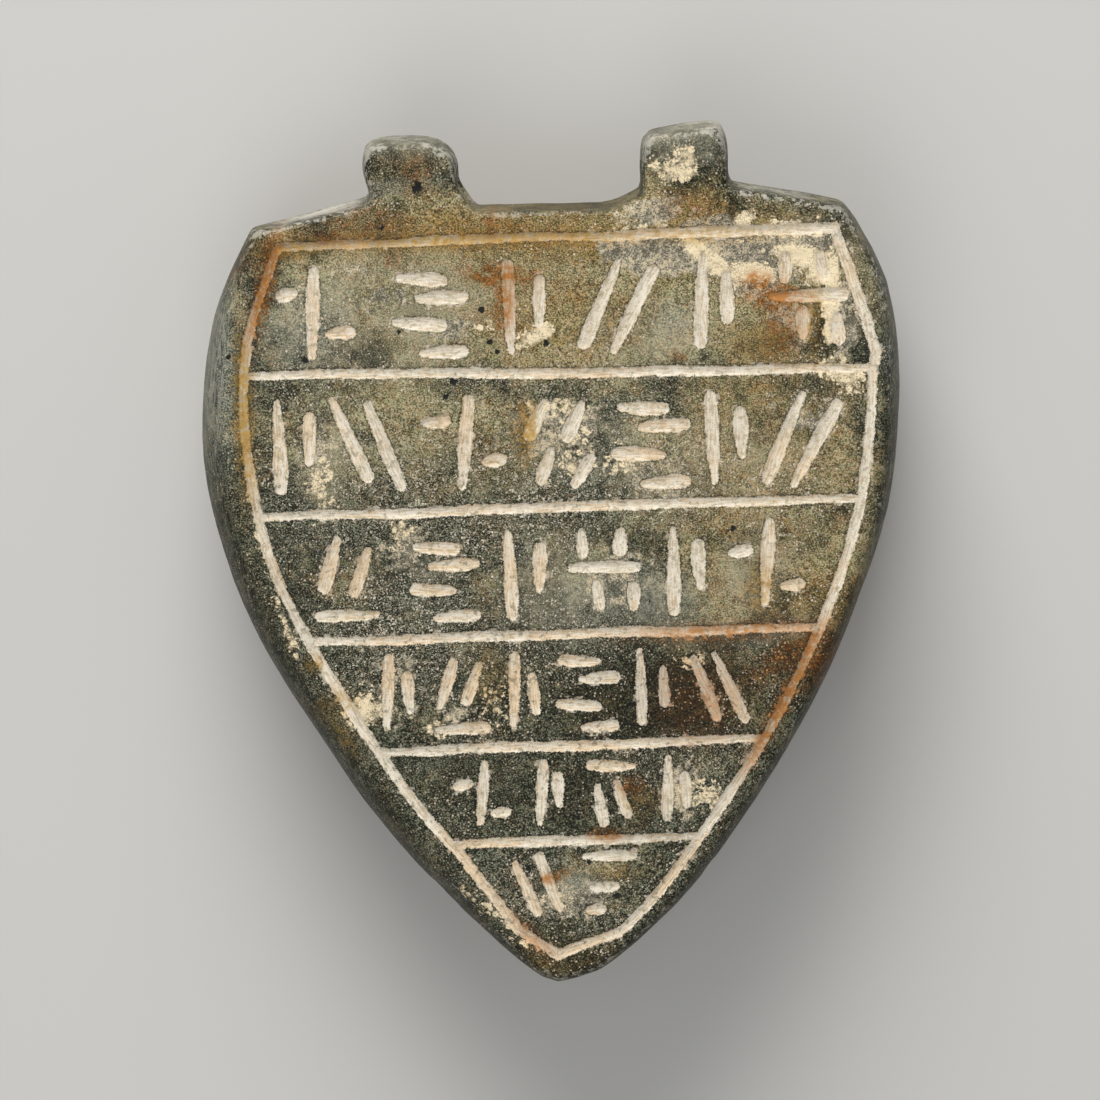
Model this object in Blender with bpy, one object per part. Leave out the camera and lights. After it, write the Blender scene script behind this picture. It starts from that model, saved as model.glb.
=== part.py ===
"""Inscribed stone amulet: a heart-shaped pendant of dark soft stone with two pierced lugs.

The stone lies on its back. The inscribed face looks up (+Z), the lugs point to +Y and the tip to -Y.
Lengths are in metres. While it is modelled, the tip is at y = 0 and the back at z = 0, and the
finished stone is then moved so that its bounding box stands centred on the origin.
"""

from math import asin, ceil, cos, pi, sin

import bmesh
import bpy
import numpy as np
from mathutils import Vector

# The stone's body. Its height runs from the tip to the top edge between the lugs.
BODY_WIDTH = 0.065
BODY_HEIGHT = 0.073
THICKNESS = 0.017

# How far the rounding between the outline and the flat face reaches in from the outline
LEFT_EDGE = 0.0034
RIGHT_EDGE = 0.0018
TIP_EDGE = 0.0013
TOP_EDGE = 0.0003
CORNER_SHARE = 0.55  # how much of a side's edge is left at the shoulder
EDGE_STATIONS = (0.02, 0.14, 0.70, 1.0)  # shares of the body's height at which a side's edge changes
SIDE_SQUARENESS = 2.2  # power of the edge's curve: 2 is an ellipse, and more is squarer
TOP_SQUARENESS = 4.0
SQUARE_STATIONS = (0.84, 0.98)  # shares of the height between which a side's edge turns as square as the top's

# The flat spot in the middle of the rounded back, on which the stone lies
REST_WIDTH = 0.036
REST_LENGTH = 0.034
REST_CENTRE = 0.60  # share of the body's height, up from the tip

# The two lugs at the top, and the hole for the cord through each, drilled from both sides
LUG_GAP = 0.017
LEFT_LUG_WIDTH = 0.0090
LEFT_LUG_HEIGHT = 0.0062
RIGHT_LUG_WIDTH = 0.0082
RIGHT_LUG_HEIGHT = 0.0075
LUG_THICKNESS = 0.010
LUG_EDGE = 0.0007
LUG_BACK_STEPS = ((0.6, 0.3), (1.0, 1.0))  # its edge at the back: shares of the way down and of the way in
WIDEST_SHARE = 0.2  # share of the lugs' thickness, above their backs, at which the outline is widest
WIDEST_HEIGHT = THICKNESS - LUG_THICKNESS * (1 - WIDEST_SHARE)
HOLE_WAIST = 0.0022  # diameter where the two drillings meet
HOLE_MOUTH = 0.0032  # diameter at the lug's sides
HOLE_OVERRUN = 0.0022  # how far the drill also scrapes the shoulder beyond the lug
LEFT_HOLE_RISE = 0.0018  # the hole's axis above the body's top edge
RIGHT_HOLE_RISE = 0.0032

# The frame that is cut round the face, its ruled lines and the strokes between them
FRAME_GAP = 0.0010  # from the edge of the flat face to the frame's line, at the sides
FRAME_TOP_GAP = 0.0026  # from the body's top edge to the frame's top line
KNEE_RISE = 0.0014  # from the first ruled line up to the knee in the frame's right side
KNEE_OUT = 0.0004  # how far the knee stands out, away from the gap that the side keeps below it
KNEE_TO_CORNER = 0.0041  # how far the straight run above the knee leans in before it meets the top line
LINE_WIDTH = 0.0009
LINE_DEPTH = 0.0004
LINE_TAPER = (0.4, 0.8, 1.0, 1.0, 1.0, 0.8, 0.4)  # a ruled line's size along it, as shares of its full size
STROKE_WIDTH = 0.0012
STROKE_DEPTH = 0.00042
STROKE_TAPER = (0.2, 0.85, 1.0, 0.85, 0.2)
RULE_OVERRUN = 0.0005  # how far a ruled line runs past the frame's line
ROW_FILL = 0.68  # share of a row's height that its strokes take
ROW_MARGIN = 0.0026  # from the frame's line to a row's first and last stroke
TIP_ROW_FILL = 0.80  # how much smaller the strokes of the last row are, where the frame narrows
TIP_ROW_RISE = 0.16  # and how far up they stand, as a share of their height
ROW_FOOT = 0.35  # share of the strokes' height, below their middle, at which the row's length is taken
MARK_GAP = 0.0018  # the least room between two groups of strokes
HAND_DRIFT = 0.0003  # how far a stroke strays from its place, as cut by hand
DRIFT_ACROSS = 2.4  # radians of the drift's wave from one stroke to the next, across and up the face
DRIFT_UP = 1.7
CUT_LIFT = 0.0001  # how far each cutter stands above the face

# Fineness of the facets
BODY_SPACING = 0.0024
TOP_SPACING = 0.0048
LUG_SPACING = 0.0010
EDGE_STEPS = 5
BACK_STEPS = 5
HOLE_SIDES = 20
SHARP_TURN = 0.2  # sine of the turn from which a point of the outline counts as a corner

# The outline, as shares of half the body's width and of its height, from the tip upwards
RIGHT_FLANK = (
    (0.023, 0.0), (0.145, 0.016), (0.298, 0.071), (0.458, 0.149), (0.686, 0.304), (0.855, 0.459),
    (0.969, 0.612), (1.0, 0.767), (0.982, 0.871), (0.945, 0.923), (0.871, 0.981),
)
LEFT_FLANK = (
    (0.023, 0.0), (-0.028, 0.0075), (-0.151, 0.049), (-0.437, 0.175), (-0.683, 0.329), (-0.886, 0.485),
    (-0.985, 0.638), (-1.0, 0.742), (-0.969, 0.845), (-0.902, 0.923), (-0.855, 0.968),
)
RIGHT_SHOULDER = (0.834, 1.002)

# A lug's outline from the gap outwards, as shares of its width and of its height above the body
LEFT_LUG = (
    (-0.18, -0.04), (0.0, 0.35), (0.01, 0.55), (0.07, 0.79), (0.22, 0.95), (0.38, 1.0), (0.69, 1.0),
    (0.85, 0.967), (0.95, 0.91), (1.0, 0.69), (0.99, 0.46), (0.925, 0.17), (0.935, 0.08),
)
RIGHT_LUG = (
    (-0.46, 0.0), (-0.28, 0.045), (-0.11, 0.14), (-0.02, 0.19), (-0.03, 0.5), (0.0, 0.80), (0.07, 0.89),
    (0.24, 0.94), (0.59, 0.987), (0.76, 1.0), (0.885, 0.973), (0.955, 0.76), (0.965, 0.5), (0.98, 0.26),
)

# The frame's top line, the ruled lines and the tip: how far down the frame each lies, and its slope
RULES = ((0.0, 0.035), (0.187, 0.014), (0.375, 0.034), (0.552, 0.030), (0.707, 0.034), (0.841, 0.030))

# The marks are groups of plain strokes that stand for writing and spell nothing. Each stroke is
# x0, y0, x1, y1 in shares of the row's height of strokes, and the first number is the group's width.
MARKS = {
    "lean": (0.80, ((0.0, 0.02, 0.42, 0.98), (0.36, 0.0, 0.80, 0.92))),
    "fall": (0.80, ((0.02, 0.96, 0.42, 0.08), (0.36, 0.98, 0.78, 0.04))),
    "staves": (0.34, ((0.02, 1.0, 0.04, 0.0), (0.32, 0.78, 0.34, 0.24))),
    "slats": (0.78, (
        (0.0, 0.88, 0.54, 0.85), (0.24, 0.60, 0.78, 0.63), (0.0, 0.33, 0.54, 0.30), (0.24, 0.04, 0.78, 0.07),
    )),
    "oar": (0.82, ((0.42, 1.0, 0.38, 0.0), (0.0, 0.66, 0.22, 0.70), (0.58, 0.28, 0.82, 0.31))),
    "rain": (0.72, (
        (0.04, 0.56, 0.20, 0.98), (0.44, 0.50, 0.60, 0.92), (0.12, 0.0, 0.28, 0.38), (0.54, 0.0, 0.70, 0.34),
    )),
    "fence": (0.80, (
        (0.0, 0.50, 0.80, 0.53), (0.14, 1.0, 0.16, 0.70), (0.56, 0.98, 0.58, 0.70),
        (0.34, 0.33, 0.36, 0.02), (0.72, 0.34, 0.74, 0.04),
    )),
    "ledge": (0.74, ((0.0, 0.06, 0.74, 0.09), (0.10, 0.32, 0.28, 0.96), (0.46, 0.32, 0.62, 0.88))),
    "eaves": (0.74, ((0.0, 0.96, 0.74, 0.93), (0.12, 0.70, 0.26, 0.04), (0.48, 0.68, 0.62, 0.10))),
    "wane": (0.80, ((0.0, 0.94, 0.80, 0.97), (0.04, 0.50, 0.50, 0.53), (0.0, 0.08, 0.26, 0.11))),
}
ROWS = (
    ("oar", "slats", "staves", "lean", "staves", "fence"),
    ("staves", "fall", "oar", "rain", "slats", "staves", "lean"),
    ("ledge", "slats", "staves", "fence", "staves", "oar"),
    ("staves", "ledge", "staves", "slats", "staves", "fall"),
    ("oar", "staves", "eaves", "staves"),
    ("fall", "wane"),
)


def smooth_run(knots, spacing):
    """Returns points about one spacing apart on a smooth curve through the knots, the last knot left out."""
    knots = np.array(knots)
    before = 2 * knots[0] - knots[1]
    after = 2 * knots[-1] - knots[-2]
    chain = np.vstack([before, knots, after])
    points = []
    for p0, p1, p2, p3 in zip(chain, chain[1:], chain[2:], chain[3:]):
        steps = max(1, ceil(np.linalg.norm(p2 - p1) / spacing))
        for step in range(steps):
            t = step / steps
            points.append(0.5 * (
                2 * p1 + (p2 - p0) * t + (2 * p0 - 5 * p1 + 4 * p2 - p3) * t ** 2
                + (3 * p1 - p0 - 3 * p2 + p3) * t ** 3
            ))
    return points


def body_places(shares):
    return [(across * BODY_WIDTH / 2, up * BODY_HEIGHT) for across, up in shares]


def lug_places(profile, side, width, height):
    return [(side * (LUG_GAP / 2 + out * width), BODY_HEIGHT + up * height) for out, up in profile]


class Outline:
    """The stone's outline, anticlockwise from the tip, with what each of its points needs to know."""

    def __init__(self):
        left_lug = lug_places(LEFT_LUG, -1, LEFT_LUG_WIDTH, LEFT_LUG_HEIGHT)
        right_lug = lug_places(RIGHT_LUG, 1, RIGHT_LUG_WIDTH, RIGHT_LUG_HEIGHT)
        right_flank = body_places(RIGHT_FLANK)
        left_flank = body_places(LEFT_FLANK)
        shoulder = body_places([RIGHT_SHOULDER])
        runs = (
            ("right", right_flank, BODY_SPACING),
            ("shoulder", [right_flank[-1], *shoulder, right_lug[-1]], TOP_SPACING),
            ("right_lug", right_lug[::-1], LUG_SPACING),
            ("saddle", [right_lug[0], left_lug[0]], TOP_SPACING),
            ("left_lug", left_lug, LUG_SPACING),
            ("shoulder", [left_lug[-1], left_flank[-1]], TOP_SPACING),
            ("left", left_flank[::-1], BODY_SPACING),
        )
        points, self.runs = [], []
        for name, knots, spacing in runs:
            run = smooth_run(knots, spacing)
            points += run
            self.runs += [name] * len(run)
        self.points = np.array(points)
        self.edges = np.array([self.edge(i) for i in range(len(points))])
        self.squareness = np.array([self.square(i) for i in range(len(points))])

    def edge(self, i):
        """Returns how far the rounding of the face's edge reaches in at one point."""
        side = {"right": RIGHT_EDGE, "left": LEFT_EDGE}.get(self.runs[i])
        if side is None:
            return LUG_EDGE if "lug" in self.runs[i] else TOP_EDGE
        up = self.points[i, 1] / BODY_HEIGHT
        return np.interp(up, EDGE_STATIONS, (TIP_EDGE, side, side, side * CORNER_SHARE))

    def square(self, i):
        """Returns the power of the edge's curve at one point."""
        if self.runs[i] not in ("right", "left"):
            return TOP_SQUARENESS
        up = self.points[i, 1] / BODY_HEIGHT
        return np.interp(up, SQUARE_STATIONS, (SIDE_SQUARENESS, TOP_SQUARENESS))

    def inset(self, extra=0.0):
        """Returns the outline moved in by the width of its edge, and an extra, with its corners kept sharp."""
        along = np.roll(self.points, -1, axis=0) - self.points
        along = along / np.linalg.norm(along, axis=1)[:, None]
        after = np.column_stack([-along[:, 1], along[:, 0]])
        reach_after = self.edges + extra
        places = []
        for point, n0, n1, reach0, reach1 in zip(
            self.points, np.roll(after, 1, axis=0), after, np.roll(reach_after, 1), reach_after,
        ):
            if abs(n0[0] * n1[1] - n0[1] * n1[0]) > SHARP_TURN:
                move = np.linalg.solve([n0, n1], [reach0, reach1])
            else:
                move = (n0 + n1) / np.linalg.norm(n0 + n1) * (reach0 + reach1) / 2
            places.append(point + move)
        return np.array(places)

    def lug_ends(self, name):
        """Returns the first and last point of a lug, where it meets the body."""
        members = [i for i, run in enumerate(self.runs) if run == name]
        return members[0], (members[-1] + 1) % len(self.runs)


def extrude_to(bm, face, places):
    """Extrudes a face and moves each new corner to its place."""
    new_face = bmesh.ops.extrude_discrete_faces(bm, faces=[face])["faces"][0]
    for corner, place in zip(new_face.verts, places):
        corner.co = place
    return new_face


def raise_front(bm, ring, outline):
    """Extrudes the widest outline up into the flat face, round its edge."""
    face = bm.faces.new(ring)
    flat = outline.inset()
    power = 2 / outline.squareness
    for step in range(1, EDGE_STEPS + 1):
        angle = pi / 2 * step / EDGE_STEPS
        rise = sin(angle) ** power
        reach = 1 - (1 - sin(angle) ** 2) ** (power / 2)
        places = outline.points + (flat - outline.points) * reach[:, None]
        heights = WIDEST_HEIGHT + (THICKNESS - WIDEST_HEIGHT) * rise
        face = extrude_to(bm, face, [Vector((*xy, z)) for xy, z in zip(places, heights)])


def dome_place(point, angle):
    """Returns a place on the rounded back, from the outline at angle 0 to the flat spot at a right angle."""
    centre = np.array((0.0, REST_CENTRE * BODY_HEIGHT))
    shrink = np.array((REST_WIDTH / BODY_WIDTH, REST_LENGTH / BODY_HEIGHT))
    rest = centre + (point - centre) * shrink
    xy = rest + (point - rest) * cos(angle)
    return Vector((*xy, WIDEST_HEIGHT * (1 - sin(angle))))


def lower_back(bm, ring, outline):
    """Extrudes the widest outline down, leaves the lugs' backs flat and rounds the body to its flat spot."""
    lug_back = THICKNESS - LUG_THICKNESS
    order = list(range(len(ring)))[::-1]
    flat = outline.inset()
    face = bm.faces.new([ring[i] for i in order])
    for share, inset in LUG_BACK_STEPS:
        height = WIDEST_HEIGHT + (lug_back - WIDEST_HEIGHT) * share
        angle = asin(1 - height / WIDEST_HEIGHT)
        places = []
        for i in order:
            place = dome_place(outline.points[i], angle)
            if "lug" in outline.runs[i] and outline.runs[i - 1] == outline.runs[i]:
                place.xy = outline.points[i] + (flat[i] - outline.points[i]) * inset
            place.z = height
            places.append(place)
        face = extrude_to(bm, face, places)
    corners = {i: corner for i, corner in zip(order, face.verts)}
    for name in ("left_lug", "right_lug"):
        start, end = outline.lug_ends(name)
        parts = bmesh.utils.face_split(face, corners[start], corners[end])
        face = max((face, parts[0]), key=lambda part: part.calc_area())
    stations = [next(i for i in order if corners[i] is corner) for corner in face.verts]
    for step in range(1, BACK_STEPS + 1):
        turn = angle + (pi / 2 - angle) * step / BACK_STEPS
        face = extrude_to(bm, face, [dome_place(outline.points[i], turn) for i in stations])


def new_object(name, bm, material=None):
    mesh = bpy.data.meshes.new(name)
    bm.to_mesh(mesh)
    bm.free()
    item = bpy.data.objects.new(name, mesh)
    bpy.context.collection.objects.link(item)
    if material:
        mesh.materials.append(material)
    return item


def stone_material():
    material = bpy.data.materials.new("steatite")
    material.use_nodes = True
    shader = material.node_tree.nodes["Principled BSDF"]
    shader.inputs["Base Color"].default_value = (0.085, 0.08, 0.05, 1.0)
    shader.inputs["Roughness"].default_value = 0.6
    shader.inputs["Metallic"].default_value = 0.0
    return material


def make_stone(outline):
    bm = bmesh.new()
    ring = [bm.verts.new((*xy, WIDEST_HEIGHT)) for xy in outline.points]
    raise_front(bm, ring, outline)
    lower_back(bm, ring, outline)
    bmesh.ops.recalc_face_normals(bm, faces=bm.faces)
    return new_object("inscribed_amulet", bm, stone_material())


def cut_with(stone, name, bm, meets_itself=False):
    """Makes a cutter from a bmesh and cuts it out of the stone."""
    bmesh.ops.recalc_face_normals(bm, faces=bm.faces)
    cutter = new_object(name, bm)
    cutter.parent = stone
    cutter.hide_render = True
    cutter.display_type = "WIRE"
    cut = stone.modifiers.new(name, "BOOLEAN")
    cut.operation = "DIFFERENCE"
    cut.solver = "EXACT"
    cut.use_self = meets_itself
    cut.object = cutter


def add_groove(bm, path, sizes, width, depth, closed=False):
    """Adds a cutter with a V section along a path. The sizes are shares of the full width and depth."""
    path = np.array(path)
    if closed:
        along = np.roll(path, -1, axis=0) - np.roll(path, 1, axis=0)
    else:
        along = np.gradient(path, axis=0)
    across = np.column_stack([-along[:, 1], along[:, 0]])
    across = across / np.linalg.norm(across, axis=1)[:, None]
    widen = 1 + CUT_LIFT / depth
    sections = []
    for point, side, size in zip(path, across, sizes):
        reach = side * width / 2 * widen * size
        sections.append([
            bm.verts.new((*(point + reach), THICKNESS + CUT_LIFT * size)),
            bm.verts.new((*(point - reach), THICKNESS + CUT_LIFT * size)),
            bm.verts.new((*point, THICKNESS - depth * size)),
        ])
    following = sections[1:] + sections[:1] if closed else sections[1:]
    for near, far in zip(sections, following):
        for k in range(3):
            bm.faces.new((near[k], near[k - 1], far[k - 1], far[k]))
    if not closed:
        bm.faces.new(sections[0])
        bm.faces.new(sections[-1])


class Frame:
    """The line that is cut round the face: down the left side, round the tip and up the right side."""

    def __init__(self, outline):
        places = outline.inset(FRAME_GAP)
        self.top = BODY_HEIGHT - FRAME_TOP_GAP
        self.tip = np.array((outline.points[0, 0], TIP_EDGE + 2 * FRAME_GAP))
        self.left = self.side(outline, places, "left")
        self.right = self.side(outline, places, "right")

    def side(self, outline, places, name):
        """Returns one side of the frame from the tip up, with its last point on the top line."""
        kept = []
        for place, run, run_before in zip(places, outline.runs, [None, *outline.runs]):
            below_top = place[1] < self.height(RULES[0], place[0]) - FRAME_GAP
            clear_of_tip = place[1] > self.tip[1] + 2 * FRAME_GAP
            if run == run_before == name and below_top and clear_of_tip:
                kept.append(place)
        if name == "right":
            return self.with_knee(np.array(kept))
        last, before = kept[0], kept[1]
        lean = (last[0] - before[0]) / (last[1] - before[1])
        rise = (self.height(RULES[0], last[0]) - last[1]) / (1 - RULES[0][1] * lean)
        return np.array([*kept[::-1], (last[0] + lean * rise, last[1] + rise)])

    def with_knee(self, side):
        """Returns the right side with a knee near the end of the first ruled line, and straight above it."""
        knee_height = self.height(RULES[1], side[-1, 0]) + KNEE_RISE
        knee = np.interp(knee_height, side[:, 1], side[:, 0]) + KNEE_OUT
        below = side[side[:, 1] < knee_height - FRAME_GAP]
        corner = knee - KNEE_TO_CORNER
        return np.array([*below, (knee, knee_height), (corner, self.height(RULES[0], corner))])

    def height(self, rule, x):
        """Returns the height at x of a line that lies a share of the way down the frame, with a slope."""
        share, slope = rule
        return self.top + (self.tip[1] - self.top) * share + slope * x

    def span(self, height):
        """Returns the frame's x at its left and right side, at one height."""
        left = np.vstack([self.tip, self.left])
        right = np.vstack([self.tip, self.right])
        return np.interp(height, left[:, 1], left[:, 0]), np.interp(height, right[:, 1], right[:, 0])


def cut_frame(stone, frame):
    bm = bmesh.new()
    loop = [frame.tip, *frame.right, *frame.left[::-1]]
    add_groove(bm, loop, np.ones(len(loop)), LINE_WIDTH, LINE_DEPTH, closed=True)
    cut_with(stone, "frame_cutter", bm)


def cut_rules(stone, frame):
    bm = bmesh.new()
    for rule in RULES[1:]:
        left, right = frame.span(frame.height(rule, 0.0))
        places = np.linspace(left - RULE_OVERRUN, right + RULE_OVERRUN, len(LINE_TAPER))
        path = [(x, frame.height(rule, x)) for x in places]
        add_groove(bm, path, LINE_TAPER, LINE_WIDTH, LINE_DEPTH)
    cut_with(stone, "rule_cutter", bm)


def row_strokes(frame):
    """Returns the two ends of every stroke, row by row, with the marks spread evenly along their row."""
    lines = (*RULES, (1.0, 0.0))
    strokes = []
    for names, upper, lower in zip(ROWS, lines, lines[1:]):
        top, bottom = frame.height(upper, 0.0), frame.height(lower, 0.0)
        middle, tall = (top + bottom) / 2, (top - bottom) * ROW_FILL
        foot = middle - tall * ROW_FOOT
        if lower == lines[-1]:
            middle, tall = middle + tall * TIP_ROW_RISE, tall * TIP_ROW_FILL
            foot = middle
        left, right = frame.span(foot)
        left, right = left + ROW_MARGIN, right - ROW_MARGIN
        natural = sum(MARKS[name][0] for name in names) * tall
        gaps = len(names) - 1
        squeeze = min(1, (right - left - MARK_GAP * gaps) / natural)
        gap = (right - left - natural * squeeze) / gaps
        x = left
        for name in names:
            width, shares = MARKS[name]
            for x0, y0, x1, y1 in shares:
                drift = HAND_DRIFT * sin(len(strokes) * DRIFT_ACROSS)
                base = middle + upper[1] * x + HAND_DRIFT * sin(len(strokes) * DRIFT_UP)
                start = (x + x0 * tall * squeeze + drift, base + (y0 - 0.5) * tall)
                end = (x + x1 * tall * squeeze, base + (y1 - 0.5) * tall)
                strokes.append((start, end))
            x += width * tall * squeeze + gap
    return strokes


def cut_strokes(stone, frame):
    bm = bmesh.new()
    for start, end in row_strokes(frame):
        path = np.linspace(start, end, len(STROKE_TAPER))
        add_groove(bm, path, STROKE_TAPER, STROKE_WIDTH, STROKE_DEPTH)
    cut_with(stone, "stroke_cutter", bm, meets_itself=True)


def cut_cord_hole(stone, name, side, width, rise):
    """Cuts a hole across a lug, wide at both mouths and narrow in the middle."""
    middle = LUG_GAP / 2 + width / 2
    flare = (HOLE_MOUTH - HOLE_WAIST) / width
    bm = bmesh.new()
    rings = []
    for x in (-width / 2 - HOLE_OVERRUN, 0.0, width / 2 + HOLE_OVERRUN):
        radius = HOLE_WAIST / 2 + abs(x) * flare
        ring = []
        for k in range(HOLE_SIDES):
            turn = 2 * pi * (k + 0.5) / HOLE_SIDES
            up, forward = radius * cos(turn), radius * sin(turn)
            ring.append(bm.verts.new((
                side * (middle + x), BODY_HEIGHT + rise + up, THICKNESS - LUG_THICKNESS / 2 + forward,
            )))
        rings.append(ring)
    for near, far in zip(rings, rings[1:]):
        for k in range(HOLE_SIDES):
            bm.faces.new((near[k - 1], near[k], far[k], far[k - 1]))
    bm.faces.new(rings[0])
    bm.faces.new(rings[-1])
    cut_with(stone, name, bm)


def main():
    for item in list(bpy.data.objects):
        bpy.data.objects.remove(item)
    outline = Outline()
    frame = Frame(outline)
    stone = make_stone(outline)
    cut_cord_hole(stone, "left_hole_cutter", -1, LEFT_LUG_WIDTH, LEFT_HOLE_RISE)
    cut_cord_hole(stone, "right_hole_cutter", 1, RIGHT_LUG_WIDTH, RIGHT_HOLE_RISE)
    cut_frame(stone, frame)
    cut_rules(stone, frame)
    cut_strokes(stone, frame)
    low, high = outline.points.min(axis=0), outline.points.max(axis=0)
    stone.location = (*(-(low + high) / 2), 0.0)


main()
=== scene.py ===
"""The looks of the inscribed stone amulet: the worn stone with its filled cuts, and the studio it lies in.

The stone lies on its back. The inscribed face looks up (+Z), the lugs point to +Y and the tip to -Y.
Lengths are in metres, apart from the lists of patches, pits and chips, which are in millimetres.
"""

import math

import bmesh
import bpy
import numpy as np
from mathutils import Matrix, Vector, kdtree, noise


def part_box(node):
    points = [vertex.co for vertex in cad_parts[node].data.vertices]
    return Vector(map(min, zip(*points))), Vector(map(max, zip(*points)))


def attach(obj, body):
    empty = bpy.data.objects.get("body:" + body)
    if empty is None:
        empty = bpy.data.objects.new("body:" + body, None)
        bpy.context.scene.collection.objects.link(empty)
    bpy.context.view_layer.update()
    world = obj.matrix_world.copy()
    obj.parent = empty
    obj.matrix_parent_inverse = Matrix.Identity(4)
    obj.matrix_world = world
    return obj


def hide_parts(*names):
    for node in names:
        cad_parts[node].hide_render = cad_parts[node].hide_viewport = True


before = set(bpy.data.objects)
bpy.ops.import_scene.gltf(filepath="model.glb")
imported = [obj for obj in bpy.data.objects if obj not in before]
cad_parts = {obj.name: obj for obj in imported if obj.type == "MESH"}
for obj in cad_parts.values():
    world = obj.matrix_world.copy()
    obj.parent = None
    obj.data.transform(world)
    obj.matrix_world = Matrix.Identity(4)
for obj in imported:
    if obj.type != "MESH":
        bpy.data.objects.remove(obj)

bl_info = {
    "name": "Inscribed stone amulet",
    "version": (1, 0, 0),
    "blender": (4, 5, 0),
    "location": "3D View > Sidebar > Amulet",
    "description": "Carves, weathers and lights a pierced stone amulet around its solid model",
    "category": "Object",
}

NODE = "inscribed_amulet"
MM = 0.001
TINY = 1e-6  # what counts as no distance at all
LOW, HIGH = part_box(NODE)
FACE_HEIGHT = HIGH.z

# How the cuts are found in the solid: they are shallow, and their walls face up and meet in a sharp valley
DEEPEST_CUT = 0.0006
VALLEY_ANGLE = -0.6
WALL_UPRIGHTNESS = 0.3
CUT_REACH = 0.0008  # how far a cut's corners lie from its course at most
LONG_CUT = 0.010  # a cut that is longer is the frame or a ruled line, and any other is a stroke
CUT_SAMPLE = 0.0001  # distance between two samples of a course

# How the cuts are made again, finer. What a cut's depth adds is in full where the solid's cut is deepest
CUT_WALL = 0.4  # share of a cut's half width that its sloping wall takes
LEAST_WIDTH, WIDTH_FROM_DEPTH = 0.58, 0.42  # shares of a cut's width that it has anyway, or from its depth
LEAST_DEPTH, DEPTH_FROM_DEPTH = 0.5, 0.5
SLIM_START = 0.97  # width of a stroke at the face's middle height, as a share of its width in the upper rows
SLIMMEST = 0.84  # the same share in the lowest rows
SLIM_LENGTH = 0.14  # the length of face over which that share would shrink to nothing
STROKE_FLARES = (-0.3, 0.3, 0.15)  # how much wider than its middle one end is, for each cut in turn
END_TRIM = 0.0003  # how much of a stroke's course is left out at each end, for its blunt ends
THINNED = 0.25  # how much slimmer a cut is where its fill is worn thin

# Noises of the cuts and the crust: the size of their swells, and how much they add or take away
WANDER_SEED = 1  # how the cuts wander off their courses, which would otherwise differ from run to run
LONG_DRIFT = 9 * MM
SHORT_DRIFT, SHORT_DRIFT_SHARE = 1.5 * MM, 0.25
LONG_WAVES, LONG_WAVES_SHARE = 3 * MM, 0.16
SHORT_WAVES, SHORT_WAVES_SHARE = 0.5 * MM, 0.06
CUT_BUMPS, CUT_BUMPS_SHARE = 0.9 * MM, 0.2
CRUST_BUMPS, CRUST_BUMPS_SHARE, CRUST_LEVEL = 0.8 * MM, 0.8, 0.6
DENTS_SHIFT, CUT_BUMPS_SHIFT = (7, 3, 5), (1, 9, 4)  # where these two noises start, so that each is its own

FACE_TURN = 0.80  # the least upward share of a normal on the face
FACE_BAND = 0.0012  # how far the face's edge may lie below the face
SHOULDER_HEIGHT = 0.024  # y above which the stone's upward edges count as its top
PALEST_TOP_HEIGHT, PALEST_TOP_REACH = 0.0115, 0.0055  # where the top is palest, from rubbing and painted highlight, and how far that reaches

# The share of a normal at which a place starts to count as one kind, and the change that makes it so in full
UPWARD_FROM, UPWARD_OVER = 0.5, 0.3
FLANK_FROM, FLANK_OVER = 0.93, 0.35
TOP_FROM, TOP_OVER = 0.5, 0.35

# How often values are evened out between neighbours
ARRIS_ROUNDS, PROUD_ROUNDS, TOP_ROUNDS = 10, 2, 24

PATCH_FALL, PATCH_POWER = 0.7, 1.5  # half of a patch's strength is left at its edge
PIT_FALL = 1.5  # how steeply a pit's side falls
CHIP_REACH = 1.3  # where a chip ends, in its radii
CHIP_LOW, CHIP_RISE = 0.6, 0.2  # shares of the face's height where chips start, and over which they deepen

# The finish: sizes of its noises and grains, and how two of them are pressed together and drawn out
FINE, MIDDLING, BROAD, LARGE = 0.15 * MM, 0.6 * MM, 3 * MM, 9 * MM
CRUMB, BLOB = 0.28 * MM, 0.62 * MM
BRUSHED = (4.0, 0.45, 4.0)
STREAKED = (0.7, 6.0, 1.0)
NOISE_RANGE = (0.36, 0.64)  # where most of a noise's values lie
NOISE_MIDDLE = 0.5
WHITE = (1.0, 1.0, 1.0)

# The studio: each light's place, size and beam
KEY_LIGHT = (-0.11, 0.67, 0.33), 0.5, math.radians(66)
FILL_LIGHT = (-0.18, -0.45, 0.76), 0.7, math.radians(120)
SKY_COLOUR = (0.95, 0.97, 1.0, 1.0)
FLOOR_SIZE = 8.0
NEAREST_SEEN = 0.01  # what lies nearer to the camera isn't seen

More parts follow.
